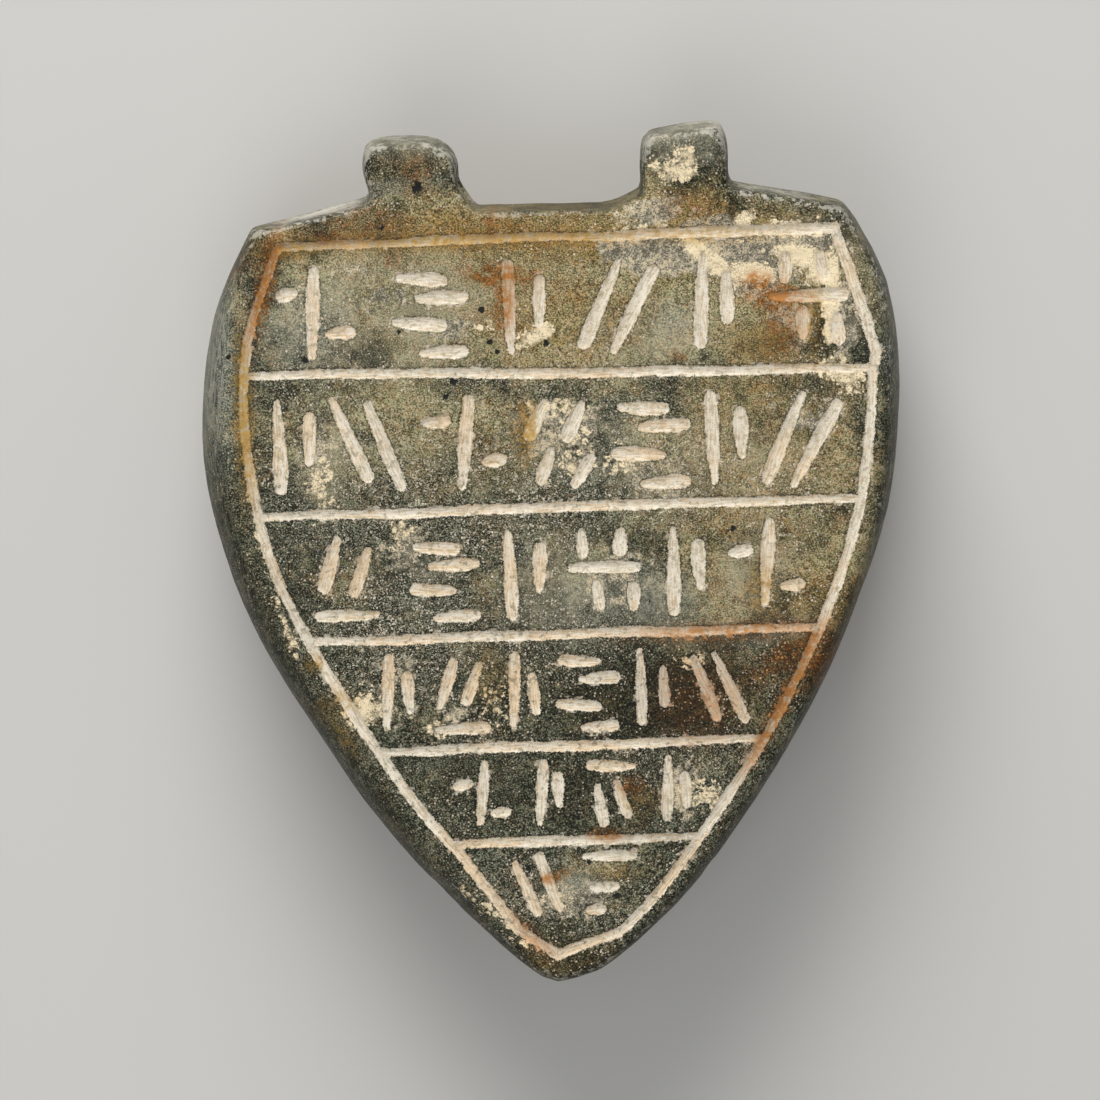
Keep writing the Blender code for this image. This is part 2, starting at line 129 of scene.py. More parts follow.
# Patches of tone, stain, crust and wear: x, y, half length, half width in mm, turn in degrees, strength
OLIVE = (
    (1, 26, 25, 9, 0, 1.2), (18.5, 8, 10.5, 14, 0, 0.85), (-12, 13, 16, 7, 0, 0.68),
    (26, -4, 5, 9, 20, 0.65), (3, 0, 9, 4, 0, 0.4), (19, -13, 5, 6, 0, 0.15), (6, -31, 5, 3.5, 0, 0.3),
    (-20, -1, 5, 4, 0, 0.3),
)
RUST = (
    (-26.3, 25.6, 4.8, 0.8, 76, 1.3), (-28.9, 26.8, 4, 0.8, 25, 0.3), (-17, 31.4, 3.6, 1.3, 5, 0.4),
    (-4.8, 26.6, 2.9, 0.9, 0, 1.2), (-4.2, 24, 0.8, 2.4, 0, 0.9), (-12.4, 36, 1.3, 1.8, 20, 0.45),
    (19.2, 26, 1.3, 0.9, 0, 1), (21, 24.6, 2.6, 1.3, -12, 1.1), (21.6, 21.6, 1.6, 2.4, 0, 0.7),
    (16.5, -6.6, 8.5, 0.9, 4, 0.75), (22.5, -8.6, 4, 1.3, 35, 0.9), (21.8, -13, 6.2, 0.8, 62, 1),
    (25.2, -9.5, 2.6, 1.4, 60, 1), (13.5, -13, 3.4, 4, 0, 0.5), (7.5, -21, 1, 0.8, 0, 1),
    (5.2, -25.6, 1.5, 0.6, 0, 1), (0.5, -29.6, 1.6, 0.5, 15, 0.9), (13, 33, 2.6, 1.2, 0, 0.4),
    (-1.6, -35.2, 2.6, 0.8, -50, 0.6), (12, 19, 0.5, 0.5, 0, 0.6), (-20.6, 30, 2, 0.7, 0, 0.5),
    (-5.5, 31.4, 0.6, 1.2, 0, 0.7), (-14.6, 27.8, 1.1, 0.6, 0, 0.4),
)
OCHRE = (
    (-28.4, 14, 7.8, 0.9, 92, 1.1), (-8, 29.9, 17, 0.85, 1, 0.85), (14, 30.4, 6, 0.8, 0, 0.5),
    (-2.3, 12.2, 0.9, 2.4, 0, 1.2), (24.5, 22, 0.7, 3, 0, 0.8), (-22, -9.6, 0.8, 0.8, 0, 0.8),
    (-20.2, -13.6, 2, 1.2, 30, 0.5), (-24.3, 28.9, 3.6, 0.8, 6, 0.9), (28, -3.5, 0.9, 3, -25, 0.4),
    (19.5, -2.6, 1.2, 2.2, 0, 0.6), (-5.5, -11, 1.6, 2.4, 0, 0.45), (20, 20.4, 2.6, 1.6, 0, 0.6),
    (-19.2, -16.6, 2.2, 0.6, -55, 0.7), (8.5, -22.4, 1.6, 1.4, 0, 0.6), (6.4, -29.2, 2.4, 0.7, 0, 0.5),
)
LIME = (
    (14.6, 28.2, 3.2, 0.9, -38, 1.3), (18.6, 26.9, 2.4, 0.9, -4, 1.3), (23.2, 28.4, 2.7, 1, -10, 1.4),
    (26, 24.6, 4.8, 0.8, 88, 1.3), (25.1, 26.8, 1.3, 1.5, 0, 1.1), (17.9, 31.4, 1.4, 0.9, 60, 1.1),
    (22, 30.9, 5.4, 0.7, 1, 1), (11.8, 36.2, 2.2, 0.9, -8, 0.85), (12.6, 37.4, 1.1, 1.3, 20, 0.8),
    (10.6, 35.6, 1, 0.8, 0, 0.7), (27, 17.6, 2.6, 1.5, -30, 0.8), (9.5, 30.8, 5, 0.7, 0, 0.6),
    (1, 14.5, 2.6, 1, 0, 0.7), (2.4, 9.6, 1.8, 3, 0, 0.65), (6.6, 9.4, 1.8, 1.4, 0, 0.6),
    (-17.2, -13.9, 2, 1.7, 0, 0.85), (-0.8, 21.2, 2.6, 0.9, 25, 0.9), (-9, -31, 2.4, 0.6, -30, 0.9),
    (14.2, -21.6, 1.9, 1.8, 0, 0.7), (-21, 7, 1.4, 3.4, 0, 0.6), (-14, 3, 1.3, 1.6, 0, 0.65),
    (-5, -13, 1.3, 2.2, 0, 0.6), (-10.6, -15.6, 1.2, 0.9, 0, 0.6), (-3.6, -34.4, 4, 0.7, -42, 0.6),
    (-26.8, 1, 2.2, 0.6, -80, 0.6), (-24.4, -6.4, 3.4, 0.5, -68, 0.7), (-6, 21, 1.2, 1.6, 0, 0.5),
    (13, -9, 2, 1, 0, 0.6), (0.6, -31.6, 1.4, 1, 0, 0.55),
)
# On the flanks these patches also lay pale streaks: scratches with painted sheen
BLUE = (
    (-30.8, 17.5, 2.4, 7, 0, 1), (-22, 22.4, 3.4, 3.2, 0, 0.55), (11.5, 22.5, 2, 1.6, 0, 0.5),
    (8, -2.5, 4, 2.5, 0, 0.4), (2, -31, 2, 1.4, 0, 0.6), (-16.6, 34.2, 6, 0.8, 12, 0.5),
    (32, 23, 2.2, 6.5, 0, 0.6),
)
BLOOM = (
    (-14, 23, 8, 5, 0, 0.75), (-22.4, 21.4, 4, 3.4, 0, 0.5), (9, 21, 5, 3, 0, 0.6),
    (-20.6, 9, 2.6, 4.4, 0, 0.5), (1, -3, 5, 4, 0, 0.65), (9, -4, 5, 2.6, 0, 0.7), (19, -1, 3, 4, 0, 0.7),
    (5, 10, 5, 3.4, 0, 0.4), (16, 8.4, 8, 4, 0, 0.35), (-12, -1.6, 4, 2.4, 0, 0.3),
    (23.5, 30, 6, 1.6, 0, 0.5), (2, -31, 2.6, 1.6, 0, 0.5), (12.5, 39, 4.4, 1.6, 0, 0.7),
    (-14, 38.6, 4.4, 1.2, 0, 0.5), (18, -6.6, 6, 1.3, 4, 0.7),
)
SCURF = (
    (9.5, 28.6, 5, 1.8, -6, 1.2), (15.5, 29.2, 4.4, 2.4, -14, 1.3), (22.5, 29.6, 4.8, 1.6, 0, 0.9),
    (19, 26.4, 3.8, 1.6, -10, 0.8), (27.2, 22.5, 1.4, 4.6, 0, 0.8), (9.6, 32.4, 3.8, 1.4, 8, 0.9),
    (22.6, 22.4, 2.4, 2.2, 0, 0.6), (18.6, 28.4, 3, 1.2, -20, 1), (-9.4, 21.6, 2.2, 1, 0, 0.8),
    (1, 12, 4.6, 3.6, 0, 0.65), (-21, 9, 1.6, 4.6, 0, 0.6), (-13, 1, 2.4, 2.2, 0, 0.6),
    (6.6, -1.6, 3.4, 3, 0, 0.6), (13, -21.5, 2.6, 2.6, 0, 0.7), (2, -31.5, 3.2, 2, 0, 0.6),
    (24, 14, 3, 2.4, 0, 0.5), (-9, -14, 2, 2.4, 0, 0.45), (9.6, 7.6, 3.6, 2.2, 0, 0.5),
    (-14.4, -12, 3, 3.6, 0, 0.4), (-15.2, 24.6, 2.4, 1.4, 10, 0.7), (-24, 24.8, 1.6, 1.2, 0, 0.6),
    (-18.4, 27, 3, 0.9, 0, 0.5),
)
THIN = (
    (-20, 29.4, 8, 1.4, 2, 0.95), (-26.3, 25.6, 6, 1.5, 76, 0.6), (-25, -6, 8, 1.4, -66, 0.7),
    (22, -13, 8, 1.4, 60, 0.6), (10, -26, 4, 3, 0, 0.45), (-1, 30, 9, 1.4, 0, 0.65),
    (-28.4, 14, 8, 1.4, 92, 0.45), (14, -12, 5, 4, 0, 0.3), (-4.5, 26, 3.2, 3, 0, 0.4),
)
DIM = (
    (9, -13, 9, 4.5, 0, 1.2), (-3, -5, 4, 5, 0, 0.5), (-7, 8.5, 7, 3, 0, 0.5), (13.5, 7, 3, 2.4, 0, 0.5),
    (-20, -4, 5, 4, 30, 0.4), (4, -21, 7, 3.6, 0, 0.7), (-17.5, 20.5, 2.4, 1.4, 0, 0.5),
    (-12.5, 23.4, 1.8, 1.2, 0, 0.5), (25.6, 20, 1.6, 3.4, 0, 0.5), (-6, -21, 5, 4, 0, 0.35),
    (30.5, 22, 2.4, 8, 0, 0.5), (-8, -12, 5, 3.6, 0, 0.3), (-16, 7.5, 8, 4.5, 0, 0.2),
)
FROST = (
    (-15, 7, 9, 5, 0, 0.85), (-2, 6, 8, 5, 0, 0.8), (10, 8, 8, 4, 0, 0.75), (20, 6, 5, 4, 0, 0.5),
    (-13, -6, 8, 4.5, 0, 0.8), (1, -6, 5, 4, 0, 0.4), (0, 16.5, 9, 3.5, 0, 0.3), (-20, 18, 6, 5, 0, 0.2),
    (12, -20, 5, 3, 0, 0.5), (2, -31, 6, 3, 0, 0.4),
)
BROWN = (
    (0, 30.5, 26, 2.4, 0, 0.7), (-13.5, 36, 3.6, 3.4, 0, 0.4), (14, 33, 4, 3, 0, 0.7),
    (20, 8, 8, 12, 0, 0.4), (24, -6, 5, 6, 0, 0.7), (0, -38, 5, 3, 0, 0.9), (-31, -4, 2.5, 9, 20, 0.25),
    (0, 22, 8, 4, 0, 0.5), (17, -12, 5, 4, 0, 0.5),
)

# The same for the stone's top, which is pale in some places, from rubbing and painted highlight, and has
# painted shade in others
RUBBED_AND_LIT = (
    (-20.3, 33, 5.8, 8, 0, 1), (-14, 38, 5, 4, 0, 0.45), (-7.8, 35, 1.6, 2.4, 0, 0.9),
    (13, 40, 5, 3, 0, 0.4), (20.5, 34.5, 5, 4, 0, 0.6), (28, 33, 4, 4, 0, 0.5),
)
# Painted shade on the top between the lugs and at the right shoulder
SHADED_TOP = ((1, 35, 7, 5, 0, 1), (29, 33, 4, 4, 0, 0.5))

# Pits in the face and chips off its edge: x, y, radius and depth in mm
PITS = (
    (-9, 16.7, 0.45, 0.22), (-9.6, 15.4, 0.35, 0.18), (-5.6, 20.3, 0.35, 0.20), (-4.9, 19.5, 0.3, 0.18),
    (-0.4, 20.3, 0.4, 0.15), (-12.2, 34.6, 0.6, 0.25), (31.4, 15.7, 0.4, 0.12), (-6.3, 23.4, 0.3, 0.12),
    (9.3, -3.7, 0.3, 0.12), (6.2, -31.4, 0.3, 0.15), (3.7, -28.2, 0.3, 0.12), (-2, -28.9, 0.4, 0.15),
    (-22.8, 18.7, 0.45, 0.15), (-14.1, 21.3, 0.28, 0.12), (-15.5, 31, 0.3, 0.12), (3.2, 15.9, 0.3, 0.1),
    (-10.8, -3.4, 0.3, 0.1), (17, 3, 0.28, 0.1), (-29.8, 19, 0.3, 0.1),
)
CHIPS = (
    (-9.9, -31.3, 1.3, 0.35), (-8.4, -32.2, 0.9, 0.30), (-24.9, 30.9, 0.9, 0.20), (31.6, 17, 0.9, 0.15),
    (27.4, 29.9, 0.8, 0.20), (-2.6, -35.6, 0.8, 0.20), (14.5, -29, 0.9, 0.20), (-31.2, 7, 1, 0.15),
)


def linear(code):
    """Returns the linear red, green and blue of a colour's hex code."""
    shares = [int(code[i:i + 2], 16) / 255 for i in (0, 2, 4)]
    return tuple(s / 12.92 if s <= 0.04045 else ((s + 0.055) / 1.055) ** 2.4 for s in shares)


def length(name, description, default):
    """Returns a setting for a length in metres."""
    return bpy.props.FloatProperty(
        name=name, description=description, default=default, min=0.0, unit="LENGTH", precision=5,
    )


def colour(name, description, code):
    """Returns a setting for a colour, whose default has a hex code."""
    return bpy.props.FloatVectorProperty(
        name=name, description=description, default=linear(code), size=3, min=0.0, max=1.0, subtype="COLOR",
    )


def strength(name, description, default):
    """Returns a setting for a light's power or strength."""
    return bpy.props.FloatProperty(name=name, description=description, default=default)


class StoneSettings(bpy.types.PropertyGroup):
    """Sizes of the worn stone"""

    cell: length("Cell", "Size of the stone's surface mesh, which is halved on the face", 0.0005)
    softening: bpy.props.IntProperty(
        name="Softening", description="How often the stone's edges are worn down", default=2, min=0,
    )
    swell: length("Swell", "Height of the broad unevenness from hand grinding", 0.00016)
    swell_size: length("Swell size", "Distance between two of its swells", 0.010)
    dents: length("Dents", "Height of the small unevenness", 0.00004)
    dents_size: length("Dents size", "Distance between two small dents", 0.0022)
    line_width: length("Line width", "Width of the frame and the ruled lines", 0.00098)
    stroke_width: length("Stroke width", "Width of a stroke in its middle", 0.00125)
    cut_depth: length("Cut depth", "Depth that is left above the pale fill of the cuts", 0.00013)
    wander: length("Wander", "How far a line strays from its course", 0.00022)
    crust: length("Crust", "Thickness of the lime crust", 0.00007)


class ColourSettings(bpy.types.PropertyGroup):
    """Colours of the stone, its crusts and its stains"""

    dark: colour("Dark stone", "Green-black stone of the lower rows", "353627")
    dark_deep: colour("Dark stone's hollows", "Darkest grains in it", "15160C")
    dark_pale: colour("Dark stone's paler grains", "Paler grains in it", "545546")
    dark_specks: colour("Dark stone's specks", "Palest grains in it", "8F8E78")
    olive: colour("Olive stone", "Brownish olive stone of the upper rows", "988D68")
    olive_deep: colour("Olive stone's hollows", "Darkest grains in it", "564D31")
    olive_specks: colour("Olive stone's specks", "Palest grains in it", "CCC09A")
    mossy: colour("Mossy tint", "What the greener grains let through", "E4F2DC")
    earthy: colour("Earthy tint", "What the browner grains let through", "FFE2BC")
    crumb_brown: colour("Brown crumbs", "Darkest of the loose crumbs", "84664A")
    # Dark edge of the cuts: soiling and painted shade
    outline: colour("Outline", "What the dirty edge of a cut lets through", "7C7662")
    rust_crust: colour("Rust crust", "Solid rust where the stain is thick", "AC743C")
    ochre_crust: colour("Ochre crust", "Solid ochre where the stain is thick", "C2A05C")
    brown: colour("Browner stone", "What a brown patch lets through", "EBCFA0")
    dim: colour("Darker stone", "What a dark patch lets through", "A8A494")
    # Painted shade: darkens the flanks and back
    side: colour("Flanks", "What is left of the colour on the stone's sides and back", "D8D9D4")
    scurf: colour("Scurf", "Grey crust", "A19A87")
    scurf_deep: colour("Scurf's pores", "Darkest grains in it", "686250")
    # Darker where the surface is hollow
    hollow_darkening: colour("Dirt", "What the dirt in hollows lets through", "B0A78F")
    bloom: colour("Bloom", "Thin pale film on the stone", "B4AF98")
    blue: colour("Blue-grey stone", "Cooler bloom on the left shoulder", "838C84")
    lime: colour("Lime", "Cream crust and dust on the face", "DDCAA6")
    lime_deep: colour("Lime's pores", "Darkest grains in it", "8F846A")
    lime_bright: colour("Lime's grains", "Palest grains in it", "FFEBC3")
    chalk: colour("Chalk", "Pale fill of the cuts", "EDE1CA")
    chalk_deep: colour("Chalk's streaks", "Darkest streaks along a cut", "CFC1A6")
    chalk_bright: colour("Chalk's ridges", "Palest streaks along a cut", "F8EEDA")
    pink: colour("Warm chalk", "What the warmer stretches of the fill let through", "FAEBDA")
    # On the tops of the shoulders and lugs this pale colour is partly wear and partly painted highlight
    worn: colour("Worn stone", "Rubbed edges and the tops of the shoulders and lugs", "C2BDB0")
    # Painted shade on the top between the lugs and at the right shoulder
    top_shade: colour("Grime", "What the grime on the stone's top lets through", "A09C8E")
    rust: colour("Rust", "What an iron stain lets through", "D8A36C")
    ochre: colour("Ochre", "What a yellow stain lets through", "DFC084")
    pit: colour("Pits", "Bottoms of the pits", "22231E")


class StudioSettings(bpy.types.PropertyGroup):
    """The floor, the lights and the camera"""

    floor: colour("Floor", "Colour of the plain floor", "D9D7D2")
    tilt: bpy.props.FloatProperty(
        name="Tilt", description="How far the camera stands above the face's normal, on the lugs' side",
        default=math.radians(7), subtype="ANGLE",
    )
    distance: length("Camera distance", "From the amulet's middle to the camera", 0.9)
    view_width: length("View width", "Width of the view at the amulet", 0.10296)
    key: strength("Key light", "Power of the light beyond the lugs", 1.2)
    fill: strength("Fill light", "Power of the light over the face", 0.83)
    sky: strength("Sky", "Strength of the light from all around", 0.3)


def make_active(item):
    bpy.ops.object.select_all(action="DESELECT")
    item.select_set(True)
    bpy.context.view_layer.objects.active = item


def merged_copy(node):
    """Returns a new object with a CAD node's mesh, its loose triangles joined."""
    mesh = bpy.data.meshes.new_from_object(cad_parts[node])
    mesh.materials.clear()
    item = bpy.data.objects.new("carved_stone", mesh)
    bpy.context.collection.objects.link(item)
    make_active(item)
    bpy.ops.object.mode_set(mode="EDIT")
    bpy.ops.mesh.select_all(action="SELECT")
    bpy.ops.mesh.remove_doubles(threshold=TINY)
    bpy.ops.object.mode_set(mode="OBJECT")
    return item


def is_valley(edge):
    """Tells whether an edge runs along the bottom of a shallow cut in the face."""
    shallow = all(FACE_HEIGHT - DEEPEST_CUT < corner.co.z < FACE_HEIGHT - TINY for corner in edge.verts)
    walled = len(edge.link_faces) == 2 and all(wall.normal.z > WALL_UPRIGHTNESS for wall in edge.link_faces)
    return shallow and walled and edge.calc_face_angle_signed() < VALLEY_ANGLE


def connected_runs(edges):
    """Returns the edges in groups that hang together."""
    left = {edge.index: edge for edge in edges}
    runs = []
    while left:
        front = [left.pop(min(left))]
        run = []
        while front:
            edge = front.pop()
            run.append(edge)
            near = sorted({e.index for corner in edge.verts for e in corner.link_edges} & set(left))
            front += [left.pop(index) for index in near]
        runs.append(run)
    return runs


def rightward(place):
    """Sorts places from left to right, and from the bottom up where they stand above each other."""
    return place.x + 0.1 * place.y


class Cuts:
    """The courses of all cuts in the face, read from the solid's own mesh."""

    def __init__(self, mesh):
        self.places, self.shares, self.is_line, self.along, self.flares = [], [], [], [], []
        bm = bmesh.new()
        bm.from_mesh(mesh)
        bm.edges.index_update()
        for number, run in enumerate(connected_runs([edge for edge in bm.edges if is_valley(edge)])):
            self.add_run(run, STROKE_FLARES[number % len(STROKE_FLARES)])
        bm.free()
        deepest = max(self.shares)
        self.shares = [share / deepest for share in self.shares]
        self.tree = kdtree.KDTree(len(self.places))
        for index, place in enumerate(self.places):
            self.tree.insert(place, index)
        self.tree.balance()

    def add_run(self, run, flare):
        """Samples one cut along the edges at its bottom."""
        is_line = sum(edge.calc_length() for edge in run) > LONG_CUT
        ends = [corner.co for edge in run for corner in edge.verts]
        middle = sum(ends, Vector()) / len(ends)
        half = max((end - middle).length for end in ends)
        flare = 0.0 if is_line else flare / half
        for edge in run:
            start, end = sorted((corner.co for corner in edge.verts), key=rightward)
            along = (end - start).normalized()
            steps = max(1, math.ceil(edge.calc_length() / CUT_SAMPLE))
            for step in range(steps + 1):
                place = start.lerp(end, step / steps)
                past = (place - middle).dot(along)
                if not is_line and abs(past) > half - END_TRIM:
                    continue
                self.places.append((place.x, place.y, FACE_HEIGHT))
                self.shares.append(FACE_HEIGHT - place.z)
                self.is_line.append(is_line)
                self.along.append((along.x, along.y))
                self.flares.append(1 + flare * past)

    def nearest(self, place):
        """Returns the distance to the nearest sample of a cut's course, and that sample's number."""
        _, index, distance = self.tree.find((place.x, place.y, FACE_HEIGHT))
        return distance, index

    def course(self, place, index):
        """Returns how far a place lies along the course and across it."""
        x, y = self.along[index]
        nearest = self.places[index]
        return place.x * x + place.y * y, (place.y - nearest[1]) * x - (place.x - nearest[0]) * y


def close_cuts(mesh, cuts):
    """Lifts the corners of the solid's cuts back to the face, so that they can be cut anew, finer."""
    for corner in mesh.vertices:
        if corner.co.z > FACE_HEIGHT - DEEPEST_CUT and cuts.nearest(corner.co)[0] < CUT_REACH:
            corner.co.z = FACE_HEIGHT


def apply_modifier(item, kind, **settings):
    """Adds a modifier to an object and applies it."""
    modifier = item.modifiers.new(kind.title(), kind)
    for name, value in settings.items():
        setattr(modifier, name, value)
    make_active(item)
    bpy.ops.object.modifier_apply(modifier=modifier.name)


def corner_vectors(mesh, name):
    """Returns the place (co) or the normal of each of the mesh's corners, one to a row."""
    flat = np.empty(len(mesh.vertices) * 3, np.float32)
    mesh.vertices.foreach_get(name, flat)
    return flat.reshape(-1, 3).astype(float)


def refine(item, wanted):
    """Halves the mesh where the function says so of a face's middle and normal."""
    mesh = item.data
    chosen = [wanted(face.center, face.normal) for face in mesh.polygons]
    mesh.vertices.foreach_set("select", [False] * len(mesh.vertices))
    mesh.edges.foreach_set("select", [False] * len(mesh.edges))
    mesh.polygons.foreach_set("select", chosen)
    make_active(item)
    bpy.context.tool_settings.mesh_select_mode = (False, False, True)
    bpy.ops.object.mode_set(mode="EDIT")
    bpy.ops.mesh.subdivide(number_cuts=1)
    bpy.ops.object.mode_set(mode="OBJECT")


def part_of(values, whole):
    """Returns values as parts of a whole, held between none and all of it."""
    return np.clip(values / whole, 0, 1)


def patch_mask(places, patches):
    """Returns how strongly a list of patches covers each place, with soft edges."""
    mask = np.zeros(len(places))
    for x, y, along, across, turn, strength in patches:
        turn = math.radians(turn)
        dx, dy = places[:, 0] / MM - x, places[:, 1] / MM - y
        u = (dx * math.cos(turn) + dy * math.sin(turn)) / along
        v = (dy * math.cos(turn) - dx * math.sin(turn)) / across
        mask = np.maximum(mask, strength * np.exp(-(u ** 2 + v ** 2) ** PATCH_POWER * PATCH_FALL))
    return mask


def eased(mesh, values, rounds):
    """Returns one value for each of the mesh's corners, evened out between neighbours a number of times."""
    ends = np.empty(len(mesh.edges) * 2, np.int32)
    mesh.edges.foreach_get("vertices", ends)
    a, b = ends.reshape(-1, 2).T
    count = np.bincount(ends, minlength=len(values))
    for _ in range(rounds):
        values = (np.bincount(a, values[b], len(values)) + np.bincount(b, values[a], len(values))) / count
    return values


def convexity(mesh, places, normals):
    """Returns how far each place stands proud of its surroundings, which is below 0 in a hollow."""
    smooth = np.column_stack([eased(mesh, places[:, axis], ARRIS_ROUNDS) for axis in range(3)])
    return ((places - smooth) * normals).sum(axis=1)


def store(mesh, name, values):
    mark = mesh.attributes.new(name, "FLOAT", "POINT")
    mark.data.foreach_set("value", values.astype(np.float32))


def wear_down(stone, sizes):
    """Gives the stone an even mesh, finer on its face, and rounds its edges."""
    guide = bpy.data.objects.new("guide", stone.data.copy())
    bpy.context.collection.objects.link(guide)
    apply_modifier(stone, "REMESH", mode="VOXEL", voxel_size=sizes.cell, use_smooth_shade=True)
    refine(stone, lambda middle, normal: normal.z > FACE_TURN and middle.z > FACE_HEIGHT - FACE_BAND)
    apply_modifier(stone, "SHRINKWRAP", target=guide)
    apply_modifier(stone, "SMOOTH", factor=0.5, iterations=sizes.softening)
    bpy.data.objects.remove(guide)


def waves(place, size, shift=(0, 0, 0)):
    """Returns a noise from -1 to 1, whose swells are about a size apart."""
    return noise.noise(place / size + Vector(shift))


def ground_height(place, sizes):
    """Returns how high the uneven hand grinding left a place."""
    swell = waves(place, sizes.swell_size)
    dents = waves(place, sizes.dents_size, DENTS_SHIFT)
    return swell * sizes.swell + dents * sizes.dents


def strayed_place(place, sizes):
    """Returns where a place lies to a cut that wandered off its course."""
    drift = noise.noise_vector(place / LONG_DRIFT)
    drift += noise.noise_vector(place / SHORT_DRIFT) * SHORT_DRIFT_SHARE
    return place + drift * sizes.wander


def cut_width(cuts, index, slimness, sizes):
    """Returns how wide a cut is at one of its samples."""
    if cuts.is_line[index]:
        return sizes.line_width
    return sizes.stroke_width * cuts.flares[index] * slimness


def carve(places, upward, lime, cuts, sizes):
    """Grinds the stone, cuts its face and lays on the crust.

    Returns how far each place moves out, how far it lies outside the nearest cut's edge in mm, and where it
    lies along and across that cut.
    """
    move = np.zeros(len(places))
    rim = np.full(len(places), 1.0)
    course = np.zeros((len(places), 3))
    slimness = np.clip(SLIM_START + places[:, 1] / SLIM_LENGTH, SLIMMEST, 1)
    thinness = 1 - THINNED * np.minimum(patch_mask(places, THIN), 1)
    noise.seed_set(WANDER_SEED)
    for i, place in enumerate(map(Vector, places)):
        move[i] = ground_height(place, sizes)
        if not upward[i]:
            continue
        strayed = strayed_place(place, sizes)
        distance, index = cuts.nearest(strayed)
        depth = cuts.shares[index]
        course[i, :2] = cuts.course(strayed, index)
        width = cut_width(cuts, index, slimness[i], sizes)
        reach = width / 2 * (LEAST_WIDTH + WIDTH_FROM_DEPTH * depth) * thinness[i]
        wavy = 1 + LONG_WAVES_SHARE * waves(place, LONG_WAVES)
        reach *= wavy + SHORT_WAVES_SHARE * waves(place, SHORT_WAVES)
        rim[i] = (distance - reach) / MM
        if distance < reach:
            fullness = min(1, (1 - distance / reach) / CUT_WALL)
            bumps = 1 + CUT_BUMPS_SHARE * waves(place, CUT_BUMPS, CUT_BUMPS_SHIFT)
            move[i] -= sizes.cut_depth * (LEAST_DEPTH + DEPTH_FROM_DEPTH * depth) * fullness * bumps
        elif lime[i] > 0:
            move[i] += sizes.crust * lime[i] * (CRUST_LEVEL + CRUST_BUMPS_SHARE * waves(place, CRUST_BUMPS))
    return move, rim, course


def sink_pits(places, upward, move):
    """Takes the pits and chips off how far the places move. Returns how deep each place lies in a pit."""
    pit = np.zeros(len(places))
    for x, y, radius, depth in PITS:
        away = np.hypot(places[:, 0] / MM - x, places[:, 1] / MM - y) / radius
        hollow = np.exp(-away ** 2 * PIT_FALL) * upward
        move -= depth * MM * hollow
        pit = np.maximum(pit, hollow)
    high = part_of(places[:, 2] - CHIP_LOW * FACE_HEIGHT, CHIP_RISE * FACE_HEIGHT)
    for x, y, radius, depth in CHIPS:
        away = np.hypot(places[:, 0] / MM - x, places[:, 1] / MM - y) / radius
        move -= depth * MM * np.clip(CHIP_REACH - away, 0, 1) * high
    return pit


def store_patches(mesh, places, normals, upward):
    """Stores where the stone is a flank, where its top is pale from rubbing and painted highlight or has
    painted shade, and where the lists of patches cover it.
    """
    store(mesh, "side", part_of(FLANK_FROM - normals[:, 2], FLANK_OVER))
    upper = part_of(normals[:, 1] - TOP_FROM, TOP_OVER) * (places[:, 1] > SHOULDER_HEIGHT)
    upper = eased(mesh, upper, TOP_ROUNDS)
    below = (places[:, 2] - PALEST_TOP_HEIGHT) / PALEST_TOP_REACH
    # Pale top: partly rubbed wear, partly painted highlight where the light falls on the top
    store(mesh, "top", upper * patch_mask(places, RUBBED_AND_LIT) * np.exp(-below ** 2))
    # Painted shade on the top between the lugs and at the right shoulder
    store(mesh, "top_shade", upper * patch_mask(places, SHADED_TOP))
    store(mesh, "scurf", patch_mask(places, SCURF) * upward)
    for name, patches in (
        ("olive", OLIVE), ("brown", BROWN), ("rust", RUST), ("ochre", OCHRE), ("blue", BLUE),
        ("bloom", BLOOM), ("thin", THIN), ("dim", DIM), ("frost", FROST),
    ):
        store(mesh, name, patch_mask(places, patches))


def shape_stone(stone, cuts, sizes):
    """Wears, cuts and pits the stone, and stores what its finish needs to know of each place."""
    close_cuts(stone.data, cuts)
    wear_down(stone, sizes)
    mesh = stone.data
    places, normals = corner_vectors(mesh, "co"), corner_vectors(mesh, "normal")
    proud = eased(mesh, convexity(mesh, places, normals), PROUD_ROUNDS)
    upward = part_of(normals[:, 2] - UPWARD_FROM, UPWARD_OVER)
    lime = patch_mask(places, LIME) * upward
    move, rim, course = carve(places, upward, lime, cuts, sizes)
    pit = sink_pits(places, upward, move)
    places += normals * move[:, None]
    places[:, 2] = np.maximum(places[:, 2], LOW.z)
    mesh.vertices.foreach_set("co", places.astype(np.float32).ravel())
    mesh.update()
    store(mesh, "rim", rim)
    store(mesh, "proud", proud / MM)
    store(mesh, "lime", lime)
    store(mesh, "pit", pit)
    mark = mesh.attributes.new("course", "FLOAT_VECTOR", "POINT")
    mark.data.foreach_set("vector", (course / MM).astype(np.float32).ravel())
    store_patches(mesh, places, normals, upward)


